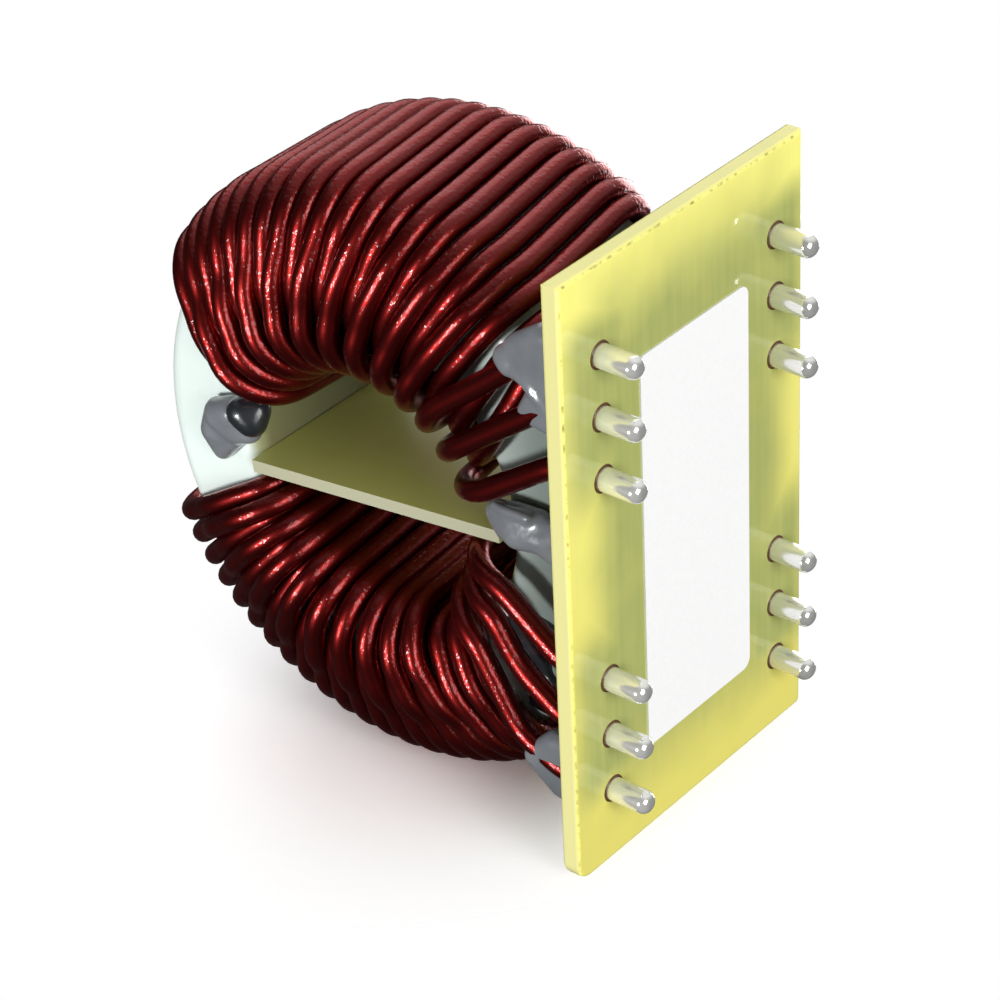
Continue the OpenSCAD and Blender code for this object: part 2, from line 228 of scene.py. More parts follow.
# Where a front lead bends on its way to the board, as (x, z).
FRONT_BENDS = {
    (UPPER, 2): (13.8 * mm, 9.3 * mm), (LOWER, 1): (-10.6 * mm, 8.1 * mm), (LOWER, 2): (-16.8 * mm, 8.2 * mm)}

PIN_INNER_X = 8.56 * mm
PIN_PITCH = 5 * mm
ROW_GAP = 20.64 * mm
PIN_R = 0.925 * mm
PIN_L = 3.54 * mm
BOARD_T = 1.6 * mm
TIN_TOP = BOARD_T + 0.9 * mm
TIN_OVERLAP = 0.5 * mm
LEAD_DROP = 1.3 * mm


def between(a, b, t):
    return a + (b - a) * t


def slot_of(wire, turn):
    """The slot that a wire's turn takes: up beside the core in
    the even ones, then back over it in the odd ones."""
    if turn == 0:
        return wire
    return 6 * turn - 2 + 2 * wire if turn < 4 else 39 - 6 * turn + 2 * wire


def on_top(slot):
    return 1 if slot > 2 and slot % 2 else 0


def shoulder_angle(side, slot):
    plan = WINDING[side]
    if slot < 2:
        return shoulder_angle(side, 2) + NEAR_STEP * (2 - slot)
    return plan["first"] - plan["step"] * slot - plan["spread"] * slot ** 2


def mouth_angle(side, slot, face):
    plan = WINDING[side]
    if face == BACK and on_top(slot):
        slot -= CROSSED
    elif slot < 3:
        return (plan["mouth"] - plan["mouth_step"] * 4
                + (plan["fan"] if face == FRONT else BACK_FAN) * (3 - slot))
    return plan["mouth"] - plan["mouth_step"] * slot


def lift(side, slot, face, r):
    """How far an odd slot's wire rides up on its neighbours at radius r."""
    if face == BACK and on_top(slot) and r < SHOULDER_R + 0.1 * mm:
        return STACK
    plan = WINDING[side]
    outward = min(1, max(0, (r - RIM_R) / (SHOULDER_R - RIM_R)))
    at_rim = plan["mouth_step"] if slot > 2 else BACK_FAN
    at_shoulder = plan["step"] + 2 * plan["spread"] * slot if slot > 1 else NEAR_STEP
    gap = math.radians(between(at_rim, at_shoulder, outward)) * r
    return 0 if slot % 2 == 0 or gap > STACK else math.sqrt(STACK ** 2 - gap ** 2)


def swung(start, end, way, face=FRONT):
    """The angle part of the way from start to end. On the back, where turns cross, a turn swings sooner."""
    t = min(1, way / OFF_FACE if face == BACK else way)
    return between(start, end, t * t * (3 - 2 * t))


def inner_bend(lay, face, mouth, shoulder):
    """Points (radius, angle, y) over the core's inner edge, from inside the hole outwards."""
    points = []
    bend = INNER_BEND_R + lay * STACK
    for degrees in range(0, 91, 15):
        t = math.radians(degrees)
        angle = swung(mouth, shoulder, ON_FACE * degrees / 90, face)
        points.append((RIM_R - bend * math.cos(t), angle,
            face * (FACE_Y - INNER_BEND_R + bend * math.sin(t))))
    return points


def outer_bend(side, slot, face, mouth, shoulder):
    """Over the core's outer edge to the outside of the ring. The
    swing is done after 60 degrees of the bend."""
    points = []
    for degrees in range(0, 91, 15):
        t = math.radians(degrees)
        angle = swung(mouth, shoulder, OFF_FACE + (1 - OFF_FACE) * degrees / 60, face)
        bend = OUTER_BEND_R + lift(side, slot, face, SHOULDER_R + OUTER_BEND_R * math.sin(t))
        points.append((SHOULDER_R + bend * math.sin(t), angle,
            face * (FACE_Y - OUTER_BEND_R + bend * math.cos(t))))
    return points


def half_turn(side, slot, face):
    """From the hole's mouth over one face of the core to the outside of the ring."""
    mouth = mouth_angle(side, slot, face)
    shoulder = shoulder_angle(side, slot) - (DRIFT if face == BACK else 0)
    middle = []
    for t in (0.25, 0.5, 0.75):
        r = between(RIM_R, SHOULDER_R, t)
        y = FACE_Y + lift(side, slot, face, r) + BOW * 4 * t * (1 - t)
        middle.append((r, swung(mouth, shoulder, between(ON_FACE, OFF_FACE, t), face), face * y))
    return (inner_bend(on_top(slot), face, mouth, shoulder) + middle
            + outer_bend(side, slot, face, mouth, shoulder))


def one_turn(side, slot):
    return half_turn(side, slot, FRONT) + half_turn(side, slot, BACK)[::-1]


def hole_run(start, end):
    """Through the hole from the back to the front. Where the winding turns back, a wire climbs at once."""
    climbs = start[0] > end[0] + STACK / 2
    round_by = [0.05, 0.45] if climbs else [0.32, 0.66] if end[0] < LAY_R - STACK / 2 else [0.2, 0.6]
    forward_by = [0.25, 0.62]
    return [(end[0], between(start[1], end[1], a), between(start[2], end[2], b))
            for a, b in zip(round_by, forward_by)]


def in_space(side, point):
    r, angle, y = point
    turned = math.radians(angle)
    return RING + Vector((side * r * math.sin(turned), y, r * math.cos(turned)))


def pin_place(side, wire, face):
    return Vector((side * (PIN_INNER_X + PIN_PITCH * wire), face * ROW_GAP / 2, 0))


def rounded(a, b, c, reach):
    """A corner at b, rounded from reach before it to reach after it."""
    p = b + reach * (a - b).normalized()
    q = b + reach * (c - b).normalized()
    steps = [i / 6 for i in range(7)]
    return [(1 - t) ** 2 * p + 2 * t * (1 - t) * b + t * t * q for t in steps]


def lead_mouth(side, wire, face):
    """A lead leaves the hole straight: on the front over the first layer, on the back on the core."""
    angle = WINDING[side]["leads"][wire] if face == FRONT else BACK_LEADS[wire]
    return inner_bend(1 if face == FRONT else 0, face, angle, angle)


def lead(side, wire, face):
    """From the hole's mouth down to the inside of the tinned end."""
    mouth = [in_space(side, point) for point in lead_mouth(side, wire, face)]
    outside = mouth[-1]
    pin = pin_place(side, wire, face)
    top = Vector((pin.x, outside.y, TIN_TOP + LEAD_DROP))
    end = pin + Vector((0, 0, TIN_TOP - TIN_OVERLAP))
    if face == FRONT and (side, wire) in FRONT_BENDS:
        x, z = FRONT_BENDS[side, wire]
        corner = Vector((x, outside.y, z))
        upper_part = rounded(outside, corner, top, FRONT_LEAD_BEND)
        return mouth + upper_part + rounded(corner, top, end, LEAD_BEND) + [end]
    return mouth + rounded(outside, top, end, LEAD_BEND) + [end]


def wire_route(side, wire):
    """From the back pin through the hole, round the core seven times and out to the front pin."""
    turns = [one_turn(side, slot_of(wire, i)) for i in range(TURNS)]
    starts = [lead_mouth(side, wire, BACK)[0]] + [turn[-1] for turn in turns]
    ends = [turn[0] for turn in turns] + [lead_mouth(side, wire, FRONT)[0]]
    route = lead(side, wire, BACK)[::-1]
    for i in range(TURNS + 1):
        passed = hole_run(starts[i], ends[i]) + (turns[i] if i < TURNS else [])
        route += [in_space(side, point) for point in passed]
    return route + lead(side, wire, FRONT)


def relaxed(route, step=0.5 * mm, passes=3):
    """The route at even steps, with its corners eased as stiff wire eases them."""
    points = np.array([list(p) for p in route])
    lengths = np.concatenate([[0], np.cumsum(np.linalg.norm(np.diff(points, axis=0), axis=1))])
    marks = np.linspace(0, lengths[-1], int(lengths[-1] / step) + 1)
    even = np.stack([np.interp(marks, lengths, points[:, axis]) for axis in range(3)], axis=1)
    for _ in range(passes):
        even[1:-1] = (even[:-2] + 2 * even[1:-1] + even[2:]) / 4
    return even


def wire_mesh(name, route):
    """A round wire along a route, as a mesh."""
    curve = bpy.data.curves.new(name, "CURVE")
    curve.dimensions = "3D"
    curve.bevel_depth = WIRE_R
    curve.bevel_resolution = 6
    curve.use_fill_caps = True
    spline = curve.splines.new("POLY")
    spline.points.add(len(route) - 1)
    for point, place in zip(spline.points, route):
        point.co = (*place, 1)
    wire = bpy.data.objects.new(name, curve)
    bpy.context.collection.objects.link(wire)
    bpy.ops.object.select_all(action="DESELECT")
    wire.select_set(True)
    bpy.context.view_layer.objects.active = wire
    bpy.ops.object.convert(target="MESH")
    wire.data.polygons.foreach_set("use_smooth", [True] * len(wire.data.polygons))
    return wire


def wire_enamel():
    """Baked polyester enamel over bright copper: a dark red film
    that lets the metal glow through, glossy on top."""
    material, tree, out = new_material("dark_red_wire_enamel")
    place = put(tree, "ShaderNodeTexCoord").outputs["Object"]
    shade = put(tree, "ShaderNodeTexNoise", {}, {"Vector": place, "Scale": 1 / (7 * mm), "Detail": 2.0})
    draw = put(tree, "ShaderNodeTexNoise", {}, {"Vector": place, "Scale": 1 / (1.1 * mm), "Detail": 1.0})
    soft = put(tree, "ShaderNodeBump", {},
        {"Strength": 0.5, "Distance": 0.03 * mm, "Height": draw.outputs["Fac"]})
    peel = put(tree, "ShaderNodeTexNoise", {}, {"Vector": place, "Scale": 1 / (0.32 * mm), "Detail": 1.5})
    film = put(tree, "ShaderNodeBump", {}, {
        "Strength": 1.0, "Distance": 0.085 * mm, "Height": peel.outputs["Fac"], "Normal": soft.outputs[0]})
    colour = put(tree, "ShaderNodeMix", {"data_type": "RGBA"}, {
        0: shade.outputs["Fac"], 6: linear("#621313"), 7: linear("#7c1b18")}).outputs[2]
    shader = put(tree, "ShaderNodeBsdfPrincipled", {}, {
        "Base Color": colour, "Metallic": 1.0, "Roughness": 0.38, "Normal": soft.outputs[0],
        "Specular Tint": linear("#ffc3c3"),
        "Coat Weight": 0.8, "Coat Roughness": 0.1, "Coat IOR": 1.34, "Coat Normal": film.outputs[0]})
    tree.links.new(shader.outputs[0], out.inputs["Surface"])
    return material


enamel = wire_enamel()
for side, winding in ((UPPER, "upper"), (LOWER, "lower")):
    for wire in range(3):
        node = f"{winding}_wire_{wire + 1}"
        piece = wire_mesh(f"{node}_enamelled", relaxed(wire_route(side, wire)))
        piece.data.materials.append(enamel)
        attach(piece, "root")
        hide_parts(node)


# ---- Pins ----
# The last stretch of each wire end has its enamel burnt off and is dipped in tin, down to a
# domed tip. It is a little thicker than the wire, and takes in the wire's end above the board.

PIN_DOME = PIN_R * 0.82


def tin():
    """Dipped tin: bright, a little clouded, with soft runs along the pin."""
    material, tree, out = new_material("dipped_tin")
    place = put(tree, "ShaderNodeTexCoord").outputs["Object"]
    runs = put(tree, "ShaderNodeMapping", {}, {0: place, 3: (1, 1, 0.25)})
    wave = put(tree, "ShaderNodeTexNoise", {},
        {"Vector": runs.outputs[0], "Scale": 1 / (0.8 * mm), "Detail": 1.0})
    bump = put(tree, "ShaderNodeBump", {},
        {"Strength": 0.3, "Distance": 0.05 * mm, "Height": wave.outputs["Fac"]})
    shader = put(tree, "ShaderNodeBsdfPrincipled", {}, {
        "Base Color": linear("#ecece8"), "Metallic": 0.7, "Roughness": 0.14, "Normal": bump.outputs[0]})
    tree.links.new(shader.outputs[0], out.inputs["Surface"])
    return material


def tinned_end(name, place):
    """A round pin with a domed tip."""
    length = TIN_TOP + PIN_L
    middle = place + Vector((0, 0, (TIN_TOP - PIN_L) / 2))
    bpy.ops.object.select_all(action="DESELECT")
    bpy.ops.mesh.primitive_cylinder_add(vertices=32, radius=PIN_R, depth=length, location=middle)
    bpy.ops.object.transform_apply(location=True, rotation=False, scale=False)
    pin = bpy.context.object
    pin.name = name
    bpy.ops.object.mode_set(mode="EDIT")
    bpy.ops.mesh.select_mode(type="FACE")
    bpy.ops.mesh.select_all(action="DESELECT")
    shape = bmesh.from_edit_mesh(pin.data)
    for face in shape.faces:
        face.select = face.normal.z < -0.9
    bmesh.update_edit_mesh(pin.data)
    bpy.ops.mesh.bevel(offset=PIN_DOME, segments=7, profile=0.5, affect="EDGES")
    bpy.ops.object.mode_set(mode="OBJECT")
    bpy.ops.object.shade_smooth_by_angle(angle=math.radians(40))
    return pin


bright_tin = tin()
for side, winding in ((UPPER, "upper"), (LOWER, "lower")):
    for face, row in ((FRONT, "front"), (BACK, "back")):
        for wire in range(3):
            pin = tinned_end(f"{winding}_{row}_pin_{wire + 1}", pin_place(side, wire, face))
            pin.data.materials.append(bright_tin)
            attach(pin, "root")
            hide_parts(f"{winding}_wire_{wire + 1}")


# ---- Base board ----
# A 1.6 mm sheet of bare glass-epoxy laminate, routed and drilled: glossy resin
# over a woven glass cloth. Its arrises are softly rounded, one corner is worn
# rounder than the others, and brown flux fills the gap round each pin.

PIN_HOLE_R = 1.1 * mm
ARRIS = 0.3 * mm
CORNER_R = 0.4 * mm
WORN_CORNER_R = 1.4 * mm
THREAD = 0.7 * mm
FLUX_R = 0.1 * mm


def drilled_board():
    """A sheet with round arrises and corners and a hole for every pin."""
    low, high = [Vector(corner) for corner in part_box("base_board")]
    bpy.ops.object.select_all(action="DESELECT")
    bpy.ops.mesh.primitive_cube_add(size=1, location=(low + high) / 2, scale=high - low)
    bpy.ops.object.transform_apply(location=True, rotation=False, scale=True)
    board = bpy.context.object
    board.name = "drilled_board"
    bpy.ops.object.mode_set(mode="EDIT")
    bpy.ops.mesh.select_mode(type="EDGE")
    for worn, radius in ((True, WORN_CORNER_R), (False, CORNER_R)):
        bpy.ops.mesh.select_all(action="DESELECT")
        shape = bmesh.from_edit_mesh(board.data)
        for edge in shape.edges:
            foot, head = [corner.co for corner in edge.verts]
            upright = abs(foot.z - head.z) > BOARD_T / 2
            sharp = len([c for c in foot.to_tuple()[:2] if c in (*low, *high)]) == 2
            at_worn = (Vector((foot.x, foot.y)) - Vector((low.x, low.y))).length < 2 * mm
            edge.select = upright and sharp and at_worn == worn
        bmesh.update_edit_mesh(board.data)
        bpy.ops.mesh.bevel(offset=radius, segments=8, profile=0.5, affect="EDGES")
    bpy.ops.mesh.select_all(action="DESELECT")
    shape = bmesh.from_edit_mesh(board.data)
    for edge in shape.edges:
        edge.select = abs(edge.verts[0].co.z - edge.verts[1].co.z) < 0.01 * mm
    bmesh.update_edit_mesh(board.data)
    bpy.ops.mesh.bevel(offset=ARRIS, segments=5, profile=0.5, affect="EDGES")
    bpy.ops.object.mode_set(mode="OBJECT")
    drills = []
    for side in (UPPER, LOWER):
        for face in (FRONT, BACK):
            for wire in range(3):
                bpy.ops.mesh.primitive_cylinder_add(
                    vertices=48, radius=PIN_HOLE_R, depth=4 * mm, location=pin_place(side, wire, face))
                drills.append(bpy.context.object)
    bpy.ops.object.select_all(action="DESELECT")
    for drill in drills:
        drill.select_set(True)
    bpy.ops.object.join()
    drill = bpy.context.object
    bored = board.modifiers.new("bored", "BOOLEAN")
    bored.operation = "DIFFERENCE"
    bored.object = drill
    bpy.context.view_layer.objects.active = board
    bpy.ops.object.modifier_apply(modifier=bored.name)
    bpy.data.objects.remove(drill)
    return board


def bare_laminate():
    """Glossy glass-epoxy: yellow towards its edges, with painted shade that turns it olive in the
    middle under the ring and between the pins, painted light towards its upper end, and faint bands of cloth,
    drawn coarser than its real threads so that they show. Its long sides are duller, with brown specks along
    the lower arris."""
    material, tree, out = new_material("bare_glass_epoxy_board")
    coords = put(tree, "ShaderNodeTexCoord")
    place = coords.outputs["Object"]
    spot = put(tree, "ShaderNodeSeparateXYZ", {}, {0: place})
    middle = {"X": 1.8 * mm, "Y": 0}

    def patch(*edges):
        """1 in a patch and 0 outside it. Each soft edge is (axis,
        outside, inside), in mm from the patch's middle."""
        share = 1
        for axis, outside, inside in edges:
            moved = put(tree, "ShaderNodeMath", {"operation": "SUBTRACT"},
                {0: spot.outputs[axis], 1: middle[axis]})
            away = put(tree, "ShaderNodeMath", {"operation": "ABSOLUTE"}, {0: moved.outputs[0]})
            within = put(tree, "ShaderNodeMapRange", {"interpolation_type": "SMOOTHSTEP"}, {
                "Value": away.outputs[0], "From Min": outside * mm, "From Max": inside * mm})
            share = put(tree, "ShaderNodeMath", {"operation": "MULTIPLY"},
                {0: share, 1: within.outputs[0]}).outputs[0]
        return share

    # Painted shade: olive where the ring stands over the board and around the pin rows, standing for the
    # coil's shadow through the laminate.
    under_ring = patch(("X", 25.5, 15.5), ("Y", 13.5, 8.5))
    pin_rows = patch(("X", 22, 18), ("X", 2.5, 9), ("Y", 16, 12), ("Y", 5, 8.5))
    depth = put(tree, "ShaderNodeMath", {"operation": "MAXIMUM"}, {0: under_ring, 1: pin_rows})
    bands = put(tree, "ShaderNodeMapping", {}, {0: place, 3: (0.04, 1, 1)})
    cloth = put(tree, "ShaderNodeTexNoise", {},
        {"Vector": bands.outputs[0], "Scale": 1 / THREAD, "Detail": 2.0})
    clouds = put(tree, "ShaderNodeTexNoise", {}, {"Vector": place, "Scale": 1 / (6 * mm), "Detail": 2.0})
    blotch = put(tree, "ShaderNodeMath", {"operation": "MULTIPLY_ADD"},
        {0: clouds.outputs["Fac"], 1: 0.5, 2: -0.25})
    olive = put(tree, "ShaderNodeMath", {"operation": "ADD", "use_clamp": True}, {
        0: depth.outputs[0], 1: blotch.outputs[0]})
    # Painted light: the board is lighter towards its upper end, at x = 22 mm, than towards its lower end.
    painted_light_to_top = put(tree, "ShaderNodeMapRange", {}, {
        "Value": spot.outputs["X"], "From Min": 22 * mm, "From Max": -20 * mm})
    yellow = put(tree, "ShaderNodeMix", {"data_type": "RGBA"}, {
        0: painted_light_to_top.outputs[0], 6: linear("#fff988"), 7: linear("#e8de70")}).outputs[2]
    pure = put(tree, "ShaderNodeMix", {"data_type": "RGBA"}, {
        0: olive.outputs[0], 6: yellow, 7: linear("#a8af66")}).outputs[2]
    thread = put(tree, "ShaderNodeMath", {"operation": "MULTIPLY_ADD", "use_clamp": True}, {
        0: cloth.outputs["Fac"], 1: 0.4, 2: -0.14})
    woven = put(tree, "ShaderNodeMix", {"data_type": "RGBA"}, {
        0: thread.outputs[0], 6: pure, 7: linear("#e2de92")}).outputs[2]
    facing = put(tree, "ShaderNodeSeparateXYZ", {}, {0: coords.outputs["Normal"]})
    turned = put(tree, "ShaderNodeMath", {"operation": "ABSOLUTE"}, {0: facing.outputs["Y"]})
    side = put(tree, "ShaderNodeMath", {"operation": "GREATER_THAN"}, {0: turned.outputs[0], 1: 0.85})
    routed = put(tree, "ShaderNodeMix", {"data_type": "RGBA"}, {
        0: side.outputs[0], 6: woven, 7: linear("#ccc888")}).outputs[2]
    arris = put(tree, "ShaderNodeMath", {"operation": "COMPARE"}, {0: facing.outputs["Z"], 1: -0.75, 2: 0.2})
    chips = put(tree, "ShaderNodeTexNoise", {}, {"Vector": place, "Scale": 1 / (0.8 * mm), "Detail": 3.0})
    chipped = put(tree, "ShaderNodeMapRange", {},
        {"Value": chips.outputs["Fac"], "From Min": 0.5, "From Max": 0.75})
    charred = put(tree, "ShaderNodeMath", {"operation": "MULTIPLY"},
        {0: arris.outputs[0], 1: chipped.outputs[0]})
    colour = put(tree, "ShaderNodeMix", {"data_type": "RGBA"}, {
        0: charred.outputs[0], 6: routed, 7: linear("#84703c")}).outputs[2]
    shader = put(tree, "ShaderNodeBsdfPrincipled", {}, {
        "Base Color": colour, "Roughness": 0.4, "Specular IOR Level": 0.0,
        "Coat Weight": 1.0, "Coat Roughness": 0.04, "Coat IOR": 1.65})
    tree.links.new(shader.outputs[0], out.inputs["Surface"])
    return material


board = drilled_board()
board.data.materials.append(bare_laminate())
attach(board, "root")
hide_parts("base_board")


def brown_flux():
    """Soldering flux burnt to a brown glassy crust."""
    material, tree, out = new_material("burnt_brown_flux")
    shader = put(tree, "ShaderNodeBsdfPrincipled", {}, {"Base Color": linear("#5e3d1c"), "Roughness": 0.3})
    tree.links.new(shader.outputs[0], out.inputs["Surface"])
    return material


flux = brown_flux()
for side, winding in ((UPPER, "upper"), (LOWER, "lower")):
    for face, row in ((FRONT, "front"), (BACK, "back")):
        for wire in range(3):
            bpy.ops.object.select_all(action="DESELECT")
            bpy.ops.mesh.primitive_torus_add(
                major_radius=(PIN_HOLE_R + PIN_R) / 2, minor_radius=FLUX_R, major_segments=48,
                minor_segments=8,
                location=pin_place(side, wire, face) + Vector((0, 0, 0.02 * mm)))
            bpy.ops.object.transform_apply(location=True, rotation=False, scale=False)
            crust = bpy.context.object
            crust.name = f"{winding}_{row}_flux_{wire + 1}"
            bpy.ops.object.shade_smooth()
            crust.data.materials.append(flux)
            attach(crust, "root")


# ---- Label ----
# A die-cut sticker of matt white paper, pressed onto the board's underside
# between the two rows of pins. It is bare: only its finish is added here.

def label_paper():
    """Uncoated white paper: matt, with a faint grain of fibres."""
    material, tree, out = new_material("matt_white_label_paper")
    place = put(tree, "ShaderNodeTexCoord").outputs["Object"]
    grain = put(tree, "ShaderNodeTexNoise", {}, {"Vector": place, "Scale": 1 / (0.3 * mm), "Detail": 3.0})
    colour = put(tree, "ShaderNodeMix", {"data_type": "RGBA"}, {
        0: grain.outputs["Fac"], 6: linear("#ececec"), 7: linear("#f5f5f4")}).outputs[2]
    bump = put(tree, "ShaderNodeBump", {},
        {"Strength": 0.1, "Distance": 0.01 * mm, "Height": grain.outputs["Fac"]})
    shader = put(tree, "ShaderNodeBsdfPrincipled", {}, {
        "Base Color": colour, "Roughness": 0.7, "Normal": bump.outputs[0]})
    tree.links.new(shader.outputs[0], out.inputs["Surface"])
    return material


dress("label", label_paper())


# ---- Adhesive ----
# Grey epoxy adhesive dabbed on from a nozzle: it ran together into thick glossy
# lumps over the leads and the core, with ridges where the nozzle was drawn off.

SKIN_STEP = 0.14 * mm
SKIN_EASE = 0.6
SKIN_PASSES = 24


def cured_resin(name, darker, paler):
    """Cured epoxy: smooth and glossy, sagged in soft waves."""
    material, tree, out = new_material(name)
    place = put(tree, "ShaderNodeTexCoord").outputs["Object"]
    clouds = put(tree, "ShaderNodeTexNoise", {}, {"Vector": place, "Scale": 1 / (2.5 * mm), "Detail": 2.0})
    colour = put(tree, "ShaderNodeMix", {"data_type": "RGBA"}, {
        0: clouds.outputs["Fac"], 6: linear(darker), 7: linear(paler)}).outputs[2]
    sag = put(tree, "ShaderNodeTexNoise", {}, {"Vector": place, "Scale": 1 / (1.6 * mm), "Detail": 2.0})
    bump = put(tree, "ShaderNodeBump", {},
        {"Strength": 0.8, "Distance": 0.16 * mm, "Height": sag.outputs["Fac"]})
    shader = put(tree, "ShaderNodeBsdfPrincipled", {}, {
        "Base Color": colour, "Roughness": 0.3, "Normal": bump.outputs[0], "Coat Weight": 0.5,
        "Coat Roughness": 0.1})
    tree.links.new(shader.outputs[0], out.inputs["Surface"])
    return material


def dab(drops):
    """One dab of adhesive: the skin stretched over drops (x, y, z, radius in mm)."""
    bpy.ops.object.select_all(action="DESELECT")
    drop_objects = []
    for x, y, z, r in drops:
        bpy.ops.mesh.primitive_ico_sphere_add(subdivisions=3, radius=r * mm,
            location=(x * mm, y * mm, z * mm))
        drop_objects.append(bpy.context.object)
    for drop in drop_objects:
        drop.select_set(True)
    bpy.ops.object.join()
    bpy.ops.object.transform_apply(location=True, rotation=False, scale=False)
    bpy.ops.object.mode_set(mode="EDIT")
    bpy.ops.mesh.select_all(action="SELECT")
    bpy.ops.mesh.convex_hull()
    bpy.ops.object.mode_set(mode="OBJECT")
    return bpy.context.object


def run_together(name, dabs):
    """One lump from dabs that flowed into each other before they set."""
    dab_objects = [dab(drops) for drops in dabs]
    bpy.ops.object.select_all(action="DESELECT")
    for piece in dab_objects:
        piece.select_set(True)
    bpy.ops.object.join()
    lump = bpy.context.object
    lump.name = name
    skin = lump.modifiers.new("skin", "REMESH")
    skin.mode = "VOXEL"
    skin.voxel_size = SKIN_STEP
    bpy.ops.object.modifier_apply(modifier=skin.name)
    ease = lump.modifiers.new("ease", "SMOOTH")
    ease.factor = SKIN_EASE
    ease.iterations = SKIN_PASSES
    bpy.ops.object.modifier_apply(modifier=ease.name)
    bpy.ops.object.shade_smooth()
    return lump


# Each lump is a list of dabs, and each dab a list of drops.
LUMPS = {
    "adhesive_far_end": [
        [(-4.4, -8.2, 39.6, 0.9), (-2.4, -8.6, 39.9, 1.2), (-0.5, -8.7, 39.2, 1.2), (-2.6, -8.4, 38.2, 1.1)],
        [(-0.6, -8.8, 38.9, 1.35), (0.0, -8.8, 37.6, 1.35), (0.0, -8.6, 36.4, 1.2), (-1.8, -8.5, 37.6, 1.2),
         (-1.3, -8.6, 36.2, 1.1)]],
    "adhesive_upper_foot": [
        [(18.6, -10.4, 2.7, 1.15), (18.6, -10.6, 4.6, 1.1), (17.0, -10.7, 7.0, 1.1), (15.2, -10.7, 6.4, 1.0),
         (15.0, -10.5, 2.7, 1.15)],
        [(16.0, -10.8, 8.0, 1.0), (15.7, -10.9, 7.4, 1.1), (16.6, -10.8, 7.0, 1.0)],
        [(15.2, -10.6, 3.0, 1.15), (13.9, -10.7, 5.1, 1.0), (12.1, -10.7, 6.2, 0.9), (11.9, -10.6, 4.6, 1.0),
         (11.9, -10.4, 2.7, 1.1)],
        [(15.8, -9.3, 6.6, 1.2), (11.4, -9.2, 5.4, 1.1), (17.8, -9.2, 2.8, 1.2), (11.2, -9.2, 2.8, 1.2),
         (9.6, -8.8, 5.0, 0.9)],
        [(15.2, -11.4, 6.3, 0.4), (14.4, -11.5, 5.2, 0.45), (13.2, -11.4, 3.9, 0.45)],
        [(13.2, -11.4, 3.9, 0.45), (12.2, -11.3, 2.6, 0.5)]],
    "adhesive_lower_foot": [
        [(0.9, -8.8, 11.2, 0.95), (-0.2, -9.0, 10.2, 0.95), (1.1, -9.0, 9.2, 1.15), (-0.1, -9.3, 8.8, 1.1)],
        [(1.2, -9.0, 9.6, 1.1), (-0.1, -9.3, 8.9, 1.15), (0.2, -9.0, 7.0, 1.25), (1.5, -8.8, 7.2, 0.9)],
        [(0.2, -9.0, 7.0, 1.2), (1.2, -8.8, 7.0, 0.9), (1.2, -8.7, 2.8, 1.0), (-1.8, -8.7, 2.8, 1.0)],
        [(1.9, -9.5, 10.9, 0.35), (2.0, -9.8, 9.6, 0.4)], [(2.0, -9.8, 9.6, 0.4), (2.0, -9.7, 7.6, 0.45)]],
    "adhesive_board_edge": [
        [(-5.4, -8.5, 2.4, 0.75), (-14.3, -8.5, 2.4, 0.75), (-13.1, -8.5, 4.4, 0.7), (-7.2, -8.5, 4.2, 0.7)],
        [(-8.0, -8.5, 4.6, 0.7), (-9.4, -8.5, 5.9, 0.7), (-11.4, -8.5, 4.6, 0.7)],
        [(-11.6, -8.5, 4.6, 0.7), (-12.8, -8.5, 5.8, 0.65)]],
    "adhesive_coil_end": [
        [(-18.2, -10.7, 6.9, 1.0), (-21.3, -9.5, 5.5, 1.0), (-16.2, -10.7, 5.0, 1.0),
        (-16.0, -10.6, 2.7, 1.0),
         (-21.3, -9.4, 2.7, 1.05), (-18.0, -9.6, 2.8, 1.2)],
        [(-21.2, -9.3, 4.2, 1.0), (-21.1, -9.2, 2.7, 1.05), (-20.6, -4.2, 2.7, 0.95),
        (-20.8, -6.4, 3.4, 0.9)]],
}
resin = cured_resin("grey_epoxy_adhesive", "#5a5e64", "#7a7d81")
for node, dabs in LUMPS.items():
    lump = run_together(f"{node}_lump", dabs)
    lump.data.materials.append(resin)
    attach(lump, "root")
    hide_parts(node)

# Two near-black lumps that are painted shade: one on the bead by the strip's far end,
# and one on the core under the lower winding's front leads, where shade falls.
PAINTED_SHADE_LUMPS = {
    "adhesive_far_end": [[(0.7, -9.2, 36.1, 1.35), (0.0, -9.1, 35.3, 1.25), (0.9, -8.6, 35.2, 1.2)]],
    "adhesive_board_edge": [
        [(-8.2, -7.9, 9.8, 0.6), (-9.0, -7.9, 6.6, 0.7), (-11.2, -7.9, 5.8, 0.5), (-9.8, -7.9, 11.6, 0.5)],
        [(-11.4, -7.9, 12.4, 0.5), (-13.2, -7.9, 11.2, 0.7), (-10.8, -7.9, 8.0, 0.6),
        (-13.8, -7.9, 8.0, 0.5)],
        [(-15.9, -7.9, 9.2, 0.6), (-14.2, -7.9, 6.4, 0.7), (-16.2, -7.9, 7.0, 0.5), (-12.6, -7.9, 8.6, 0.5)]],
}
# Painted shade: the near-black colour of these lumps.
painted_shade_resin = cured_resin("painted_shade_epoxy", "#101215", "#24282c")
for node, dabs in PAINTED_SHADE_LUMPS.items():
    lump = run_together(f"{node}_painted_shade_lump", dabs)
    lump.data.materials.append(painted_shade_resin)
    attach(lump, "root")


# ---- Studio ----
# The part lies on its long winding and the board's end on a white
# bench, or stands on its pins on a white floor, under four soft lamps.

CAMERA_PLACE = Vector((138.70, -169.27, -126.82)) * mm
CAMERA_FORWARD = Vector((-0.54318, 0.63709, 0.54687))
CAMERA_UP = Vector((0.83855, 0.44454, 0.31500))
LENS = 124.84
SENSOR = 36

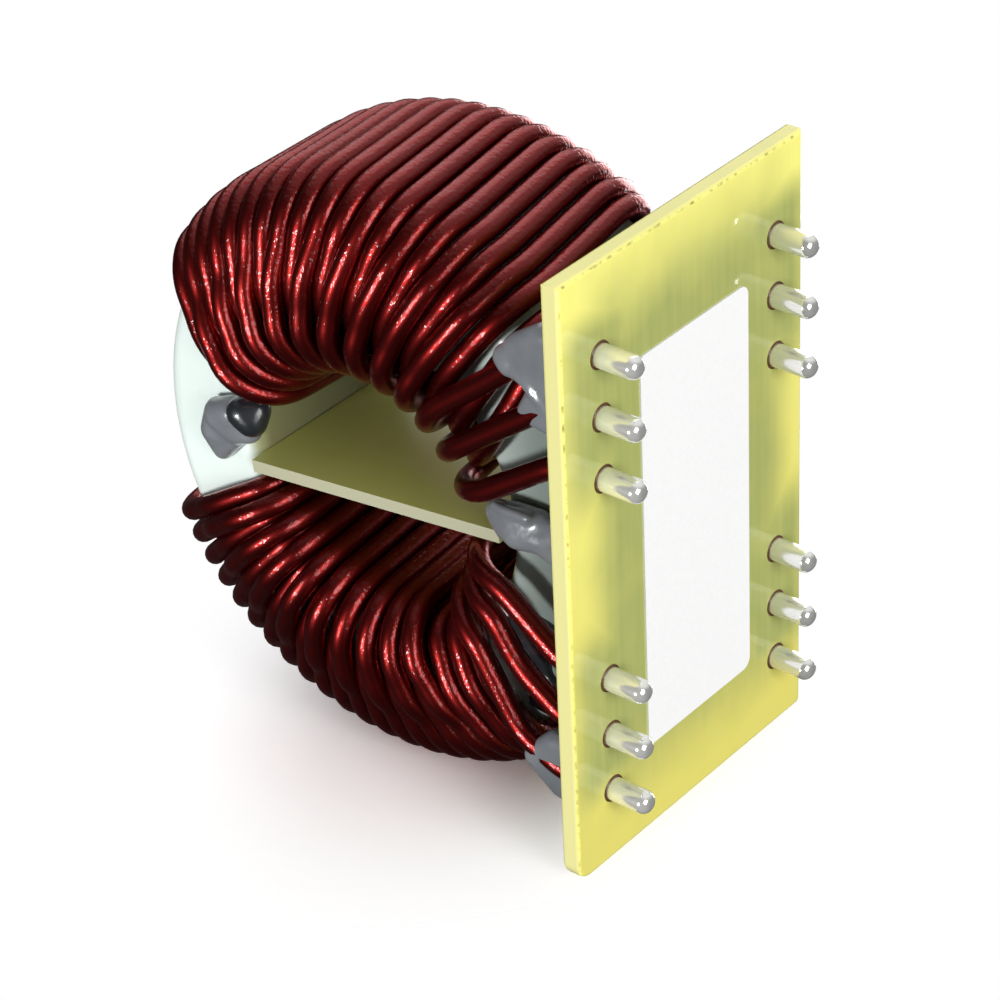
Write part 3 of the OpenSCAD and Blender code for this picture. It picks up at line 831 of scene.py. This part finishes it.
camera = bpy.data.objects.new("camera", bpy.data.cameras.new("camera"))
camera.data.lens = LENS
camera.data.sensor_width = SENSOR
camera.data.clip_start = 0.01
camera.data.clip_end = 10
right = CAMERA_FORWARD.cross(CAMERA_UP).normalized()
up = right.cross(CAMERA_FORWARD).normalized()
back = -CAMERA_FORWARD.normalized()
aim = [[right[i], up[i], back[i], CAMERA_PLACE[i]] for i in range(3)] + [[0, 0, 0, 1]]
camera.matrix_world = Matrix(aim)
bpy.context.collection.objects.link(camera)
bpy.context.scene.camera = camera


LAMP_DISTANCE = 1.0


def softbox(name, direction, size, power):
    """A square area lamp that looks at the ring from a
    direction. Its size is in metres and its power in watts."""
    lamp = bpy.data.lights.new(name, "AREA")
    lamp.shape = "SQUARE"
    lamp.size = size
    lamp.energy = power
    holder = bpy.data.objects.new(name, lamp)
    towards = Vector(direction).normalized()
    holder.location = RING + towards * LAMP_DISTANCE
    holder.rotation_euler = towards.to_track_quat("Z", "Y").to_euler()
    bpy.context.collection.objects.link(holder)


softbox("front_lamp", (0.0, -0.97, 0.08), 0.18, 9.4)
softbox("board_lamp", (0.30, -0.30, -0.90), 0.60, 9.0)
softbox("top_lamp", (0.60, 0.54, 0.42), 1.00, 3.1)
softbox("back_lamp", (-0.20, 0.95, 0.20), 0.60, 4.5)

# The camera sees a white backdrop. The part mirrors a wall that is white
# only in the way opposite DARK_ROOM, and nearly dark all round it. FILL
# is the soft light that the room puts on the part from all sides.
DARK_ROOM = (-0.85, -0.53, 0.0)
FILL = 0.34
WHITE_WALL = 0.82
DARK_WALL = 0.04
world = bpy.data.worlds.new("white_backdrop_dark_room")
bpy.context.scene.world = world
world.use_nodes = True
world.node_tree.nodes.clear()
tree = world.node_tree
rays = put(tree, "ShaderNodeLightPath")
mirrored = put(tree, "ShaderNodeMath", {"operation": "MAXIMUM"}, {
    0: rays.outputs["Is Glossy Ray"], 1: rays.outputs["Is Transmission Ray"]})
sight = put(tree, "ShaderNodeTexCoord").outputs["Generated"]
towards = put(tree, "ShaderNodeVectorMath", {"operation": "DOT_PRODUCT"}, {
    0: sight, 1: tuple(Vector(DARK_ROOM).normalized())}).outputs["Value"]
wall = put(tree, "ShaderNodeMapRange", {"interpolation_type": "SMOOTHSTEP"}, {
    "Value": towards, "From Min": -0.95, "From Max": -0.3, "To Min": WHITE_WALL,
    "To Max": DARK_WALL}).outputs[0]
fill = put(tree, "ShaderNodeBackground", {}, {"Color": (1, 1, 1, 1), "Strength": FILL})
room = put(tree, "ShaderNodeBackground", {}, {"Color": (1, 1, 1, 1), "Strength": wall})
backdrop = put(tree, "ShaderNodeBackground", {}, {"Color": (1, 1, 1, 1), "Strength": 1.0})
lit = put(tree, "ShaderNodeMixShader", {}, {0: mirrored.outputs[0], 1: fill.outputs[0], 2: room.outputs[0]})
sky = put(tree, "ShaderNodeMixShader", {}, {
    0: rays.outputs["Is Camera Ray"], 1: lit.outputs[0], 2: backdrop.outputs[0]})
put(tree, "ShaderNodeOutputWorld", {}, {"Surface": sky.outputs[0]})


SHEET_SIZE = 0.4


def white_sheet(name, paleness, glow, middle, far, near):
    """A white surface that only the camera sees, and only from its upper side,
    so it puts no light on the part. It takes the part's shadow up to near from
    its middle, and from there to far it fades into the white backdrop."""
    material, tree, out = new_material(name)
    rays = put(tree, "ShaderNodeLightPath")
    shape = put(tree, "ShaderNodeNewGeometry")
    place = put(tree, "ShaderNodeTexCoord").outputs["Object"]
    away = put(tree, "ShaderNodeVectorMath", {"operation": "DISTANCE"},
        {0: place, 1: middle}).outputs["Value"]
    faded = put(tree, "ShaderNodeMapRange", {"interpolation_type": "SMOOTHSTEP"}, {
        "Value": away, "From Min": far, "From Max": near})
    seen = put(tree, "ShaderNodeMath", {"operation": "SUBTRACT", "use_clamp": True}, {
        0: rays.outputs["Is Camera Ray"], 1: shape.outputs["Backfacing"]})
    kept = put(tree, "ShaderNodeMath", {"operation": "MULTIPLY"}, {0: seen.outputs[0], 1: faded.outputs[0]})
    paper = put(tree, "ShaderNodeBsdfDiffuse", {}, {"Color": (paleness, paleness, paleness, 1)})
    light = put(tree, "ShaderNodeEmission", {}, {"Color": (1, 1, 1, 1), "Strength": glow})
    sheet = put(tree, "ShaderNodeAddShader", {}, {0: paper.outputs[0], 1: light.outputs[0]})
    clear = put(tree, "ShaderNodeBsdfTransparent")
    shown = put(tree, "ShaderNodeMixShader", {},
        {0: kept.outputs[0], 1: clear.outputs[0], 2: sheet.outputs[0]})
    tree.links.new(shown.outputs[0], out.inputs["Surface"])
    return material


def stage_sheet(name, middle, facing, material):
    """A square sheet under the part, with its upper side towards facing."""
    bpy.ops.object.select_all(action="DESELECT")
    bpy.ops.mesh.primitive_plane_add(size=SHEET_SIZE)
    sheet = bpy.context.object
    sheet.name = name
    tilt = Vector(facing).to_track_quat("Z", "Y").to_matrix().to_4x4()
    sheet.data.transform(Matrix.Translation(middle) @ tilt)
    sheet.data.materials.append(material)


# The bench touches the lower winding's outermost turn and the
# board's end, and the floor the tips of the pins.
UNDER_RING = Vector((-27.3, -2, 24)) * mm
BENCH_UP = (0.995, 0, 0.1007)
bench_paint = white_sheet("white_bench", 1.75, 0.0, UNDER_RING, 34 * mm, 11 * mm)
stage_sheet("bench", UNDER_RING, BENCH_UP, bench_paint)
UNDER_BOARD = Vector((0, 0, -PIN_L))
floor_paint = white_sheet("white_floor", 0.5, 0.72, UNDER_BOARD, 60 * mm, 30 * mm)
stage_sheet("floor", UNDER_BOARD, (0, 0, 1), floor_paint)

bpy.context.scene.view_settings.view_transform = "Standard"
